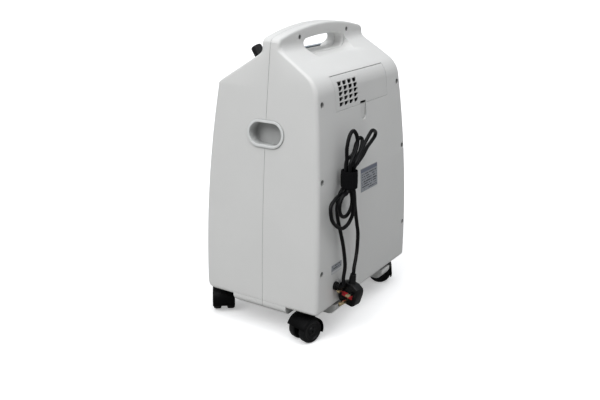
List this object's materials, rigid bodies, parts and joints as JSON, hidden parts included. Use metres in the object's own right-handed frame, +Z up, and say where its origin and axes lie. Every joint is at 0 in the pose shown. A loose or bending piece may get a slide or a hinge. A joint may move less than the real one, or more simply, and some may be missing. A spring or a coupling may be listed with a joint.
{
  "type": "oxygen concentrator",
  "caption": "Wheeled floor cabinet with arched carrying handle, side grips, rear filter door and coiled mains cord; sloped controls and a humidifier bay in front.",
  "frame": {"origin": "on the floor, under the middle of the cabinet body", "axes": "+Z up, +Y towards the rear face, +X towards the side seen left of the rear face; the front faces -Y"},
  "size_m": [0.423, 0.343, 0.601],
  "materials": {
    "front_shell": "fine grained off-white",
    "rear_shell": "fine grained off-white",
    "base_plate": "zinc grey",
    "inner_frame": "zinc grey",
    "shell_screws": "dark zinc",
    "side_grips": "light semi-gloss",
    "control_panel": "pale blue film",
    "switch_body": "black",
    "power_rocker": "green",
    "breaker_body": "black",
    "breaker_button": "white",
    "display_window": "smoked",
    "control_board": "green laminate",
    "flow_valve": "turned",
    "flow_knob": "black",
    "flowmeter_body": "clear acrylic",
    "flow_ball": "polished",
    "oxygen_outlet": "nickelled",
    "humidifier_bottle": "clear",
    "humidifier_lid": "white",
    "dip_tube": "white",
    "filter_door": "fine grained off-white",
    "filter_tray": "black",
    "filter_foam": "open-cell foam",
    "intake_filter": "white",
    "power_cord": "black",
    "cord_strap": "hook-and-loop",
    "cord_gland": "black",
    "plug_body": "black",
    "plug_pins": "bright",
    "fuse_cover": "red",
    "labels": "metallic film",
    "caster_stems": "zinc",
    "front_right_hood": "black nylon",
    "front_right_wheel_a": "black nylon",
    "front_right_wheel_b": "black nylon",
    "front_left_hood": "black nylon",
    "front_left_wheel_a": "black nylon",
    "front_left_wheel_b": "black nylon",
    "rear_right_hood": "black nylon",
    "rear_right_wheel_a": "black nylon",
    "rear_right_wheel_b": "black nylon",
    "rear_left_hood": "black nylon",
    "rear_left_wheel_a": "black nylon",
    "rear_left_wheel_b": "black nylon",
    "compressor_motor": "black",
    "compressor_crankcases": "die cast",
    "compressor_rotor": "ground",
    "compressor_bearings": "ground",
    "cylinder_heads": "die cast",
    "mount_springs": "spring steel",
    "capacitor": "white",
    "cooling_fan_frame": "black",
    "cooling_fan_rotor": "black",
    "sieve_beds": "drawn",
    "product_tank": "white",
    "cooling_coil": "drawn",
    "valve_block": "machined",
    "power_module": "green laminate",
    "hoses": "silicone"
  },
  "bodies": {
    "cabinet": {"front_shell": "front_shell", "rear_shell": "rear_shell", "base_plate": "base_plate", "inner_frame": "inner_frame", "shell_screws": "shell_screws", "side_grips": "side_grips", "control_panel": "control_panel", "switch_body": "switch_body", "breaker_body": "breaker_body", "display_window": "display_window", "control_board": "control_board", "flow_valve": "flow_valve", "flowmeter_body": "flowmeter_body", "oxygen_outlet": "oxygen_outlet", "filter_tray": "filter_tray", "filter_foam": "filter_foam", "intake_filter": "intake_filter", "power_cord": "power_cord", "cord_strap": "cord_strap", "cord_gland": "cord_gland", "plug_body": "plug_body", "plug_pins": "plug_pins", "fuse_cover": "fuse_cover", "labels": "labels", "caster_stems": "caster_stems", "compressor_motor": "compressor_motor", "compressor_crankcases": "compressor_crankcases", "compressor_bearings": "compressor_bearings", "cylinder_heads": "cylinder_heads", "mount_springs": "mount_springs", "capacitor": "capacitor", "cooling_fan_frame": "cooling_fan_frame", "sieve_beds": "sieve_beds", "product_tank": "product_tank", "cooling_coil": "cooling_coil", "valve_block": "valve_block", "power_module": "power_module", "hoses": "hoses"},
    "rocker": {"power_rocker": "power_rocker"},
    "breaker": {"breaker_button": "breaker_button"},
    "knob": {"flow_knob": "flow_knob"},
    "float_ball": {"flow_ball": "flow_ball"},
    "bottle": {"humidifier_bottle": "humidifier_bottle"},
    "lid": {"humidifier_lid": "humidifier_lid", "dip_tube": "dip_tube"},
    "door": {"filter_door": "filter_door"},
    "fan": {"cooling_fan_rotor": "cooling_fan_rotor"},
    "crank": {"compressor_rotor": "compressor_rotor"},
    "front_right_caster": {"front_right_hood": "front_right_hood"},
    "front_right_wheel_a": {"front_right_wheel_a": "front_right_wheel_a"},
    "front_right_wheel_b": {"front_right_wheel_b": "front_right_wheel_b"},
    "front_left_caster": {"front_left_hood": "front_left_hood"},
    "front_left_wheel_a": {"front_left_wheel_a": "front_left_wheel_a"},
    "front_left_wheel_b": {"front_left_wheel_b": "front_left_wheel_b"},
    "rear_right_caster": {"rear_right_hood": "rear_right_hood"},
    "rear_right_wheel_a": {"rear_right_wheel_a": "rear_right_wheel_a"},
    "rear_right_wheel_b": {"rear_right_wheel_b": "rear_right_wheel_b"},
    "rear_left_caster": {"rear_left_hood": "rear_left_hood"},
    "rear_left_wheel_a": {"rear_left_wheel_a": "rear_left_wheel_a"},
    "rear_left_wheel_b": {"rear_left_wheel_b": "rear_left_wheel_b"}
  },
  "joints": [
    {"name": "rocker_tilt", "type": "hinge", "parent": "cabinet", "child": "rocker", "pos_m": [-0.112, -0.06157, 0.52294], "axis": [1, 0, 0], "range_deg": [0, 18]},
    {"name": "breaker_press", "type": "slide", "parent": "cabinet", "child": "breaker", "axis": [0, 0.5373, -0.8434], "range_m": [0, 0.003]},
    {"name": "flow_turn", "type": "hinge", "parent": "cabinet", "child": "knob", "pos_m": [0.128, -0.03735, 0.54075], "axis": [0, -0.5373, 0.8434], "range_deg": [0, 1080]},
    {"name": "ball_rise", "type": "slide", "parent": "cabinet", "child": "float_ball", "axis": [0, 0, 1], "range_m": [0, 0.055]},
    {"name": "bottle_out", "type": "slide", "parent": "cabinet", "child": "bottle", "axis": [0, -1, 0], "range_m": [0, 0.12]},
    {"name": "lid_unscrew", "type": "hinge", "parent": "bottle", "child": "lid", "pos_m": [-0.03, -0.087, 0.36], "axis": [0, 0, 1], "range_deg": [0, 540]},
    {"name": "door_hinge", "type": "hinge", "parent": "cabinet", "child": "door", "pos_m": [0, 0.10239, 0.5094], "axis": [1, 0, 0], "range_deg": [0, 60]},
    {"name": "fan_spin", "type": "hinge", "parent": "cabinet", "child": "fan", "pos_m": [0, 0.034, 0.27], "axis": [0, 0, 1], "continuous": true},
    {"name": "crank_spin", "type": "hinge", "parent": "cabinet", "child": "crank", "pos_m": [0, 0.034, 0.137], "axis": [1, 0, 0], "continuous": true},
    {"name": "front_right_swivel", "type": "hinge", "parent": "cabinet", "child": "front_right_caster", "pos_m": [0.165, -0.115, 0.05], "axis": [0, 0, 1], "continuous": true},
    {"name": "front_right_roll_a", "type": "hinge", "parent": "front_right_caster", "child": "front_right_wheel_a", "pos_m": [0.15448, -0.12264, 0.025], "axis": [0.5878, -0.809, 0], "continuous": true},
    {"name": "front_right_roll_b", "type": "hinge", "parent": "front_right_caster", "child": "front_right_wheel_b", "pos_m": [0.15448, -0.12264, 0.025], "axis": [0.5878, -0.809, 0], "continuous": true},
    {"name": "front_left_swivel", "type": "hinge", "parent": "cabinet", "child": "front_left_caster", "pos_m": [-0.165, -0.115, 0.05], "axis": [0, 0, 1], "continuous": true},
    {"name": "front_left_roll_a", "type": "hinge", "parent": "front_left_caster", "child": "front_left_wheel_a", "pos_m": [-0.17722, -0.11055, 0.025], "axis": [-0.342, -0.9397, 0], "continuous": true},
    {"name": "front_left_roll_b", "type": "hinge", "parent": "front_left_caster", "child": "front_left_wheel_b", "pos_m": [-0.17722, -0.11055, 0.025], "axis": [-0.342, -0.9397, 0], "continuous": true},
    {"name": "rear_right_swivel", "type": "hinge", "parent": "cabinet", "child": "rear_right_caster", "pos_m": [0.168, 0.102, 0.05], "axis": [0, 0, 1], "continuous": true},
    {"name": "rear_right_roll_a", "type": "hinge", "parent": "rear_right_caster", "child": "rear_right_wheel_a", "pos_m": [0.18053, 0.09853, 0.025], "axis": [0.2672, 0.9636, 0], "continuous": true},
    {"name": "rear_right_roll_b", "type": "hinge", "parent": "rear_right_caster", "child": "rear_right_wheel_b", "pos_m": [0.18053, 0.09853, 0.025], "axis": [0.2672, 0.9636, 0], "continuous": true},
    {"name": "rear_left_swivel", "type": "hinge", "parent": "cabinet", "child": "rear_left_caster", "pos_m": [-0.168, 0.102, 0.05], "axis": [0, 0, 1], "continuous": true},
    {"name": "rear_left_roll_a", "type": "hinge", "parent": "rear_left_caster", "child": "rear_left_wheel_a", "pos_m": [-0.1621, 0.09042, 0.025], "axis": [0.891, 0.454, 0], "continuous": true},
    {"name": "rear_left_roll_b", "type": "hinge", "parent": "rear_left_caster", "child": "rear_left_wheel_b", "pos_m": [-0.1621, 0.09042, 0.025], "axis": [0.891, 0.454, 0], "continuous": true}
  ],
  "couplings": [
    {"joint": "ball_rise", "follows": "flow_turn", "m_per_rad": 0.002917}
  ]
}
